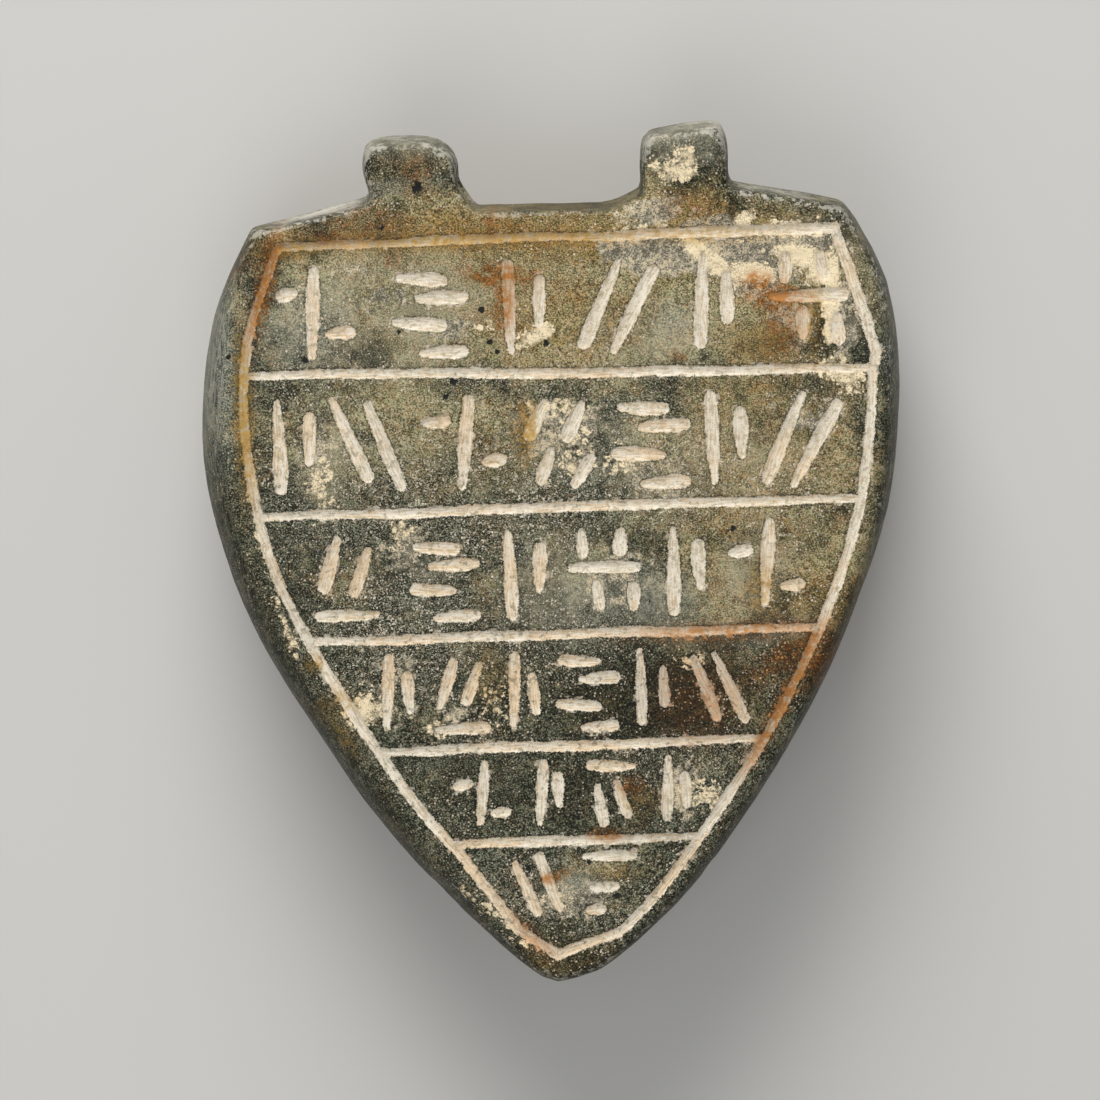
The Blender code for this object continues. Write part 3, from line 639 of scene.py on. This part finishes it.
class Nodes:
    """The nodes of a material or a group, with a short way to add each kind and get its output"""

    def __init__(self, tree):
        self.tree = tree

    def add(self, kind, inputs=None, **settings):
        """Adds a node, with its settings, and with each input either linked or given a value."""
        node = self.tree.nodes.new(kind)
        for name, value in settings.items():
            setattr(node, name, value)
        for name, value in (inputs or {}).items():
            if isinstance(value, bpy.types.NodeSocket):
                self.tree.links.new(value, node.inputs[name])
            else:
                node.inputs[name].default_value = value
        return node

    def mark(self, name, output="Fac"):
        """Reads what was stored on the stone under a name."""
        return self.add("ShaderNodeAttribute", attribute_name=name).outputs[output]

    def channels(self, shade):
        """Takes a noise's colour apart into three unlike noises."""
        return self.add("ShaderNodeSeparateColor", {0: shade}).outputs[:]

    def noises(self, place, size, detail, roughness=0.6):
        """Makes three unlike noises whose features are about one size across."""
        inputs = {"Vector": place, "Scale": 1 / size, "Detail": detail, "Roughness": roughness}
        return self.channels(self.add("ShaderNodeTexNoise", inputs).outputs["Color"])

    def cells(self, place, size):
        """Finds the nearest of many scattered points: its distance in cells, and three values of its own."""
        scattered = self.add("ShaderNodeTexVoronoi", {"Vector": place, "Scale": 1 / size})
        return scattered.outputs["Distance"], self.channels(scattered.outputs["Color"])

    def stretched(self, place, scale):
        """Presses a place together or draws it out along each axis."""
        return self.add("ShaderNodeVectorMath", {0: place, 1: scale}, operation="MULTIPLY").outputs[0]

    def calculate(self, operation, a, b=0.0, clamp=False):
        return self.add("ShaderNodeMath", {0: a, 1: b}, operation=operation, use_clamp=clamp).outputs[0]

    def times(self, a, b, clamp=False):
        return self.calculate("MULTIPLY", a, b, clamp)

    def plus(self, a, b, clamp=False):
        return self.calculate("ADD", a, b, clamp)

    def less(self, a, b):
        return self.calculate("SUBTRACT", a, b)

    def larger(self, a, b):
        return self.calculate("MAXIMUM", a, b)

    def weighted(self, *parts):
        """Adds up values, each times its weight."""
        total = None
        for value, weight in parts:
            part = self.times(value, weight)
            total = part if total is None else self.plus(total, part)
        return total

    def spread(self, value, low, high, to_low=0.0, to_high=1.0, kind="LINEAR"):
        """Maps a value from one range to another, held at its ends."""
        inputs = {"Value": value, "From Min": low, "From Max": high, "To Min": to_low, "To Max": to_high}
        return self.add("ShaderNodeMapRange", inputs, interpolation_type=kind).outputs[0]

    def swing(self, noisy, low=0.0, high=1.0):
        """Maps most of a noise's values to a range, held at its ends."""
        return self.spread(noisy, *NOISE_RANGE, low, high)

    def between(self, share, none, full):
        """Goes from one value to another as the share goes from 0 to 1."""
        return self.spread(share, 0.0, 1.0, none, full)

    def mix_values(self, share, a, b):
        return self.add("ShaderNodeMix", {0: share, 2: a, 3: b}, data_type="FLOAT").outputs[0]

    def lay(self, share, under, over, kind="MIX"):
        """Lays one colour over another, as far as the share says."""
        if not isinstance(over, bpy.types.NodeSocket):
            over = (*over, 1.0)
        inputs = {0: share, 6: under, 7: over}
        return self.add("ShaderNodeMix", inputs, data_type="RGBA", blend_type=kind).outputs[2]

    def tint(self, share, under, through):
        """Leaves of a colour what another lets through, as far as the share says."""
        return self.lay(share, under, through, "MULTIPLY")

    def ramp(self, value, *stops):
        """Turns a value into a colour, from places and the colours they have."""
        node = self.add("ShaderNodeValToRGB", {"Fac": value})
        elements = node.color_ramp.elements
        while len(elements) < len(stops):
            elements.new(0.5)
        for element, (place, shade) in zip(elements, stops):
            element.position = place
            element.color = (*shade, 1.0)
        return node.outputs["Color"]


def new_group(name, inputs, output, kind):
    """Returns the nodes of a new group with one output, the sockets of its inputs and the output's socket."""
    tree = bpy.data.node_groups.new(name, "ShaderNodeTree")
    for label, value in inputs.items():
        tree.interface.new_socket(label, in_out="INPUT", socket_type="NodeSocketFloat").default_value = value
    tree.interface.new_socket(output, in_out="OUTPUT", socket_type=kind)
    given = tree.nodes.new("NodeGroupInput").outputs
    return Nodes(tree), given, tree.nodes.new("NodeGroupOutput").inputs[output]


def cover_group():
    """Builds a ragged cover: the patches of a noise that take up a share of the surface."""
    group, given, result = new_group(
        "Ragged cover", {"Noise": 0.5, "Cover": 0.5, "Edge": 0.1}, "Mask", "NodeSocketFloat",
    )
    above = group.less(group.plus(group.swing(given["Noise"]), given["Cover"]), 1.0)
    mask = group.spread(above, group.times(given["Edge"], -1.0), given["Edge"], kind="SMOOTHSTEP")
    present = group.spread(given["Cover"], 0.0, 0.05)
    group.tree.links.new(group.times(mask, present), result)
    return group.tree


def rock_group(colours):
    """Builds the bare stone: dark or olive grains, with browner and cooler patches, calmer on its sides."""
    group, given, result = new_group("Grained stone", {
        "Fine": 0.5, "Middling": 0.5, "Broad": 0.5, "Patch": 0.5, "Hue": 0.5, "Scratch": 0.5,
        "Olive": 0.5, "Brown": 0.0, "Blue": 0.0, "Side": 0.0,
    }, "Color", "NodeSocketColor")
    fine, middling, broad, side = (given[name] for name in ("Fine", "Middling", "Broad", "Side"))
    grains = group.weighted((fine, 0.56), (middling, 0.28), (broad, 0.16))
    # These weights add up to 1.3 without the last, which brings the middle back to where it was
    scratched = group.weighted(
        (fine, 0.46), (middling, 0.24), (broad, 0.24), (given["Scratch"], 0.36), (NOISE_MIDDLE, -0.30),
    )
    level = group.spread(group.mix_values(side, grains, scratched), 0.39, 0.61)
    dark = group.ramp(
        level, (0.10, colours.dark_deep), (0.38, colours.dark),
        (0.62, colours.dark_pale), (0.95, colours.dark_specks),
    )
    olive = group.ramp(level, (0.05, colours.olive_deep), (0.5, colours.olive), (0.95, colours.olive_specks))
    drift = group.plus(group.swing(given["Patch"], -0.16, 0.16), group.swing(broad, -0.22, 0.22))
    tone = group.spread(group.plus(given["Olive"], drift), 0.08, 0.92, kind="SMOOTHSTEP")
    shade = group.lay(tone, dark, olive)
    hue = group.spread(given["Hue"], 0.38, 0.62)
    hue = group.ramp(hue, (0.1, colours.mossy), (0.5, WHITE), (0.9, colours.earthy))
    shade = group.tint(0.65, shade, hue)
    shade = group.tint(given["Brown"], shade, colours.brown)
    bluish = group.times(given["Blue"], group.spread(given["Hue"], 0.40, 0.60, 1.0, 0.4))
    blue = group.ramp(level, (0.15, colours.dark_pale), (0.5, colours.blue), (0.9, colours.bloom))
    shade = group.lay(bluish, shade, blue)
    # Painted shade: darker on the flanks and back
    group.tree.links.new(group.tint(side, shade, colours.side), result)
    return group.tree


class StoneSurface(Nodes):
    """The finish's nodes, with the marks and noises that its layers share"""

    def __init__(self, tree):
        super().__init__(tree)
        place = self.add("ShaderNodeTexCoord").outputs["Object"]
        self.ragged = cover_group()
        self.fine = self.noises(place, FINE, 1.0)
        self.middling = self.noises(place, MIDDLING, 3.0)
        self.broad = self.noises(place, BROAD, 4.0, 0.65)
        self.large = self.noises(place, LARGE, 1.0)
        self.scratch = self.noises(self.stretched(place, BRUSHED), MM, 2.0)
        self.crumb, self.crumb_kinds = self.cells(place, CRUMB)
        self.blob, self.blob_kinds = self.cells(place, BLOB)
        self.rim, self.proud, self.pit = (self.mark(name) for name in ("rim", "proud", "pit"))
        self.side, self.top, self.top_shade = (self.mark(name) for name in ("side", "top", "top_shade"))
        self.lime, self.scurf = (self.mark(name) for name in ("lime", "scurf"))

    def cover(self, noisy, share, edge):
        """Finds the patches of a noise that take up a share of the surface, with an edge that soft."""
        inputs = {"Noise": noisy, "Cover": share, "Edge": edge}
        return self.add("ShaderNodeGroup", inputs, node_tree=self.ragged).outputs[0]


def bare_stone(on, colours):
    """Returns the stone's own colour, with pale streaks on its flanks, scratches and painted sheen, and its
    bloom, darker patches and pores.
    """
    blue = on.mark("blue")
    brown = on.plus(on.mark("brown"), on.spread(on.broad[1], 0.5, 0.62, 0.0, 0.4), clamp=True)
    calm = on.between(on.side, 1.0, 0.65)
    shade = on.add("ShaderNodeGroup", {
        "Fine": on.fine[0], "Middling": on.middling[0], "Broad": on.broad[0], "Patch": on.large[0],
        "Scratch": on.scratch[0], "Hue": on.weighted((on.middling[1], 0.6), (on.broad[2], 0.4)),
        "Olive": on.times(on.mark("olive"), calm), "Brown": on.times(brown, calm),
        "Blue": blue, "Side": on.side,
    }, node_tree=rock_group(colours)).outputs["Color"]
    # Pale streaks on the flanks: scratches and painted sheen
    streaks_and_sheen = on.cover(on.scratch[1], on.times(blue, on.times(on.side, 0.5)), 0.3)
    shade = on.lay(on.times(streaks_and_sheen, 0.3), shade, colours.worn)
    bloom = on.times(on.mark("bloom"), on.spread(on.broad[0], 0.40, 0.58, 0.15, 0.6))
    shade = on.lay(bloom, shade, colours.bloom)
    shade = on.tint(on.mark("dim"), shade, colours.dim)
    pores = on.times(on.spread(on.blob, 0.20, 0.12), on.spread(on.blob_kinds[1], 0.55, 0.6))
    return on.lay(on.times(pores, 0.6), shade, colours.pit)


def add_crumbs(on, colours, shade):
    """Adds loose crumbs of lime, more near the cuts and in clumps, and patches that they frost over."""
    crumb_shade = on.ramp(
        on.crumb_kinds[0], (0.0, colours.crumb_brown), (0.2, colours.scurf),
        (0.5, colours.bloom), (0.85, colours.chalk),
    )
    amount = on.weighted(
        (on.spread(on.rim, 0.05, 0.8, 1.0, 0.0), 0.05), (on.spread(on.large[1], 0.42, 0.6), 0.10),
        (on.spread(on.broad[1], 0.44, 0.58), 0.10), (on.spread(on.middling[1], 0.49, 0.58), 0.12),
    )
    amount = on.times(amount, on.between(on.side, 1.0, 0.7))
    amount = on.plus(amount, on.spread(on.crumb_kinds[1], 0.2, 1.0, -0.04, 0.18))
    dust = on.spread(on.less(amount, on.crumb), -0.04, 0.08)
    shade = on.lay(on.times(dust, 0.8), shade, crumb_shade)
    frost = on.times(on.mark("frost"), on.spread(on.middling[2], 0.42, 0.58, 0.04, 0.44))
    frost = on.cover(on.fine[1], frost, 0.06)
    return on.lay(on.times(frost, 0.8), shade, crumb_shade)


def rub_and_paint_top_light_and_shade(on, colours, shade):
    """Rubs the edges pale, makes the stone's top pale with rubbing and painted highlight, and gives the top
    painted shade in places.
    """
    worn = on.cover(on.middling[0], on.spread(on.proud, 0.11, 0.27, 0.0, 0.8), 0.3)
    worn = on.times(worn, on.between(on.top_shade, 1.0, 0.0))
    # Pale scuffs on the top: wear, and painted highlight where the light falls on it
    scuffs_and_highlight = on.weighted((on.middling[0], 0.3), (on.broad[2], 0.5), (on.fine[1], 0.2))
    scuffs_and_highlight = on.cover(scuffs_and_highlight, on.times(on.top, 0.9), 0.5)
    scuffs_and_highlight = on.times(scuffs_and_highlight, on.spread(on.top, 0.3, 1.0, 0.6, 0.9))
    shade = on.lay(on.larger(on.times(worn, 0.6), scuffs_and_highlight), shade, colours.worn)
    # Painted shade on the top between the lugs and at the right shoulder
    return on.tint(on.top_shade, shade, colours.top_shade)


def add_crusts(on, colours, shade):
    """Adds grey scurf, and lime as cobbles, or solid where it is thick. Also returns where the lime is."""
    mottles = on.weighted((on.fine[2], 0.4), (on.middling[0], 0.3), (on.broad[0], 0.3))
    mottles = on.spread(mottles, 0.42, 0.58)
    scurf_shade = on.ramp(mottles, (0.1, colours.scurf_deep), (0.5, colours.scurf), (0.9, colours.lime))
    scabs = on.weighted((on.middling[2], 0.5), (on.broad[2], 0.5))
    shade = on.lay(on.cover(scabs, on.scurf, 0.12), shade, scurf_shade)
    grains = on.spread(on.weighted((on.fine[2], 0.5), (on.middling[2], 0.5)), 0.40, 0.58)
    grains = on.plus(grains, on.spread(on.lime, 0.6, 1.1, 0.0, 0.4))
    lime_shade = on.ramp(grains, (0.1, colours.lime_deep), (0.5, colours.lime), (0.9, colours.lime_bright))
    cobbles = on.larger(on.spread(on.blob, 0.62, 0.48), on.spread(on.lime, 0.55, 0.85))
    crust = on.times(on.cover(scabs, on.lime, 0.06), cobbles)
    return on.lay(crust, shade, lime_shade), crust


def fill_share(on, uneven):
    """Returns how full of chalk a place is: less where the fill is worn thin, with smears beyond the cuts."""
    core = on.spread(uneven, 0.03, -0.04, kind="SMOOTHSTEP")
    flecks = on.less(on.crumb, on.spread(on.crumb_kinds[2], 0.3, 1.0, 0.0, 0.3))
    flecks = on.between(on.spread(flecks, -0.06, 0.04), 0.3, 0.0)
    thin = on.times(on.mark("thin"), on.spread(on.middling[0], 0.38, 0.56, 1.4, 0.7))
    bare = on.larger(on.larger(on.cover(on.middling[0], 0.12, 0.15), flecks), thin)
    strength = on.times(on.spread(on.large[2], 0.38, 0.5, 0.92, 1.0), on.between(bare, 1.0, 0.4))
    haze = on.times(on.spread(uneven, 0.35, -0.05, 0.0, 0.7), on.spread(on.broad[1], 0.45, 0.6))
    smear = on.cover(on.middling[1], haze, 0.2)
    return on.larger(on.times(core, strength), on.times(smear, 0.5))


def chalk_shade(on, colours):
    """Returns the chalk's colour, which is streaked along each cut and warmer in places."""
    streaks = on.noises(on.stretched(on.mark("course", "Vector"), STREAKED), 1.0, 1.0)
    level = on.weighted((streaks[0], 0.42), (on.fine[2], 0.22), (on.middling[1], 0.36))
    level = on.spread(level, 0.40, 0.60)
    chalk = on.ramp(level, (0.1, colours.chalk_deep), (0.5, colours.chalk), (0.9, colours.chalk_bright))
    warm = on.spread(on.weighted((on.large[1], 0.5), (streaks[1], 0.5)), 0.49, 0.60)
    return on.tint(warm, chalk, colours.pink)


def fill_cuts(on, colours, shade, crust):
    """Fills the cuts with chalk inside a thin dark edge, part soiling and part painted shade. Also returns
    where the chalk is.
    """
    uneven = on.plus(on.rim, on.swing(on.fine[2], -0.055, 0.055))
    uneven = on.plus(uneven, on.swing(on.middling[2], -0.06, 0.06))
    # A thin dark edge round each cut: soiling, and painted shade along the cut's edge
    outline = on.spread(on.calculate("ABSOLUTE", on.less(uneven, 0.10)), 0.0, 0.09, 0.7, 0.0)
    outline = on.times(outline, on.between(crust, 1.0, 0.2))
    shade = on.tint(outline, shade, colours.outline)
    fill = fill_share(on, uneven)
    return on.lay(fill, shade, chalk_shade(on, colours)), fill


def add_stains(on, colours, shade, chalky):
    """Adds ochre and rust, which are solid where they are thick, most of all on the chalk."""
    for name, through, solid, noisy in (
        ("ochre", colours.ochre, colours.ochre_crust, on.middling[0]),
        ("rust", colours.rust, colours.rust_crust, on.middling[1]),
    ):
        stain = on.times(on.mark(name), on.spread(noisy, 0.38, 0.60, 0.30, 1.30), clamp=True)
        stain = on.times(stain, on.between(on.top, 1.0, 0.2))
        shade = on.tint(stain, shade, through)
        shade = on.lay(on.times(stain, on.between(chalky, 0.14, 0.45)), shade, solid)
    return shade


def darken_hollows(on, colours, shade):
    """Darkens the hollows, and darkens the pits, whose edges are ragged."""
    # Darker where the surface is hollow
    shade = on.tint(on.spread(on.proud, -0.03, -0.18, 0.0, 0.5), shade, colours.hollow_darkening)
    hole = on.weighted((on.swing(on.middling[1], -1.0, 1.0), 0.35), (on.pit, 1.0))
    hole = on.times(on.spread(hole, 0.35, 0.5), on.spread(on.pit, 0.02, 0.1))
    return on.lay(hole, shade, colours.pit)


def roughen(on, chalky, shader):
    """Makes the stone matt, and its chalk more so, with a fine grain that is fainter in the cuts."""
    rough = on.plus(on.between(chalky, 0.55, 0.9), on.swing(on.fine[0], -0.08, 0.08))
    on.tree.links.new(rough, shader.inputs["Roughness"])
    shader.inputs["Specular IOR Level"].default_value = 0.22
    height = on.weighted((on.fine[0], 0.9), (on.fine[1], 0.9), (on.middling[0], 1.2))
    height = on.times(height, on.spread(on.rim, -0.15, 0.1, 0.45, 1.0))
    bump = on.add("ShaderNodeBump", {"Strength": 0.8, "Distance": 0.05 * MM, "Height": height})
    on.tree.links.new(bump.outputs["Normal"], shader.inputs["Normal"])


def finish_stone(colours):
    """Returns the stone's material, one layer on the other."""
    material = bpy.data.materials.new("worn_steatite")
    material.use_nodes = True
    tree = material.node_tree
    shader = tree.nodes["Principled BSDF"]
    on = StoneSurface(tree)
    shade = bare_stone(on, colours)
    shade = add_crumbs(on, colours, shade)
    shade = rub_and_paint_top_light_and_shade(on, colours, shade)
    shade, crust = add_crusts(on, colours, shade)
    shade, fill = fill_cuts(on, colours, shade, crust)
    chalky = on.larger(crust, fill)
    shade = add_stains(on, colours, shade, chalky)
    shade = darken_hollows(on, colours, shade)
    tree.links.new(shade, shader.inputs["Base Color"])
    roughen(on, chalky, shader)
    return material


class AMULET_OT_stone(bpy.types.Operator):
    """Carve, wear and colour the amulet's one stone"""

    bl_idname = "amulet.stone"
    bl_label = "Stone"

    def execute(self, context):
        scene = context.scene
        stone = merged_copy(NODE)
        cuts = Cuts(stone.data)
        shape_stone(stone, cuts, scene.amulet_stone)
        stone.data.materials.append(finish_stone(scene.amulet_colours))
        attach(stone, "root")
        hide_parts(NODE)
        return {"FINISHED"}


def lay_floor(shade):
    bpy.ops.mesh.primitive_plane_add(size=FLOOR_SIZE, location=(0, 0, LOW.z))
    floor = bpy.context.object
    floor.name = "studio_floor"
    material = bpy.data.materials.new("plain_floor")
    material.use_nodes = True
    shader = material.node_tree.nodes["Principled BSDF"]
    shader.inputs["Base Color"].default_value = (*shade, 1)
    shader.inputs["Roughness"].default_value = 1.0
    shader.inputs["Specular IOR Level"].default_value = 0.0
    floor.data.materials.append(material)


def add_area_light(name, place, size, beam, power, target):
    """Adds a square light that faces a target, and shines no wider than its beam."""
    place = Vector(place)
    bpy.ops.object.light_add(type="AREA", location=place)
    light = bpy.context.object
    light.name = name
    light.rotation_euler = (target - place).to_track_quat("-Z", "Y").to_euler()
    light.data.shape = "SQUARE"
    light.data.size = size
    light.data.energy = power
    light.data.spread = beam


def light_from_around(scene, strength):
    scene.world = bpy.data.worlds.new("studio")
    scene.world.use_nodes = True
    background = scene.world.node_tree.nodes["Background"]
    background.inputs["Color"].default_value = SKY_COLOUR
    background.inputs["Strength"].default_value = strength


def set_camera(scene, sizes, middle):
    """Sets the camera over the stone's middle, a little on the lugs' side."""
    away = Vector((0, math.sin(sizes.tilt), math.cos(sizes.tilt)))
    bpy.ops.object.camera_add(location=middle + away * sizes.distance, rotation=(-sizes.tilt, 0, 0))
    scene.camera = bpy.context.object
    camera = scene.camera.data
    camera.lens = camera.sensor_width * sizes.distance / sizes.view_width
    camera.clip_start = NEAREST_SEEN


class AMULET_OT_studio(bpy.types.Operator):
    """Lay the floor, and set the lights and the camera"""

    bl_idname = "amulet.studio"
    bl_label = "Studio"

    def execute(self, context):
        scene = context.scene
        sizes = scene.amulet_studio
        middle = (LOW + HIGH) / 2
        lay_floor(sizes.floor)
        add_area_light("key", *KEY_LIGHT, sizes.key, middle)
        add_area_light("fill", *FILL_LIGHT, sizes.fill, middle)
        light_from_around(scene, sizes.sky)
        set_camera(scene, sizes, middle)
        scene.view_settings.view_transform = "Standard"
        return {"FINISHED"}


class AMULET_PT_panel(bpy.types.Panel):
    """Lists the amulet's settings and steps"""

    bl_idname = "AMULET_PT_panel"
    bl_label = "Inscribed amulet"
    bl_space_type = "VIEW_3D"
    bl_region_type = "UI"
    bl_category = "Amulet"

    def draw(self, context):
        for settings, operator in (
            (context.scene.amulet_stone, "amulet.stone"),
            (context.scene.amulet_colours, None),
            (context.scene.amulet_studio, "amulet.studio"),
        ):
            box = self.layout.box()
            for name in settings.__annotations__:
                box.prop(settings, name)
            if operator:
                box.operator(operator)


CLASSES = (
    StoneSettings, ColourSettings, StudioSettings,
    AMULET_OT_stone, AMULET_OT_studio, AMULET_PT_panel,
)


def register():
    for item in CLASSES:
        bpy.utils.register_class(item)
    bpy.types.Scene.amulet_stone = bpy.props.PointerProperty(type=StoneSettings)
    bpy.types.Scene.amulet_colours = bpy.props.PointerProperty(type=ColourSettings)
    bpy.types.Scene.amulet_studio = bpy.props.PointerProperty(type=StudioSettings)


def unregister():
    del bpy.types.Scene.amulet_studio
    del bpy.types.Scene.amulet_colours
    del bpy.types.Scene.amulet_stone
    for item in reversed(CLASSES):
        bpy.utils.unregister_class(item)


def main():
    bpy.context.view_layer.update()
    register()
    bpy.ops.amulet.stone()
    bpy.ops.amulet.studio()


if __name__ == "__main__":
    main()
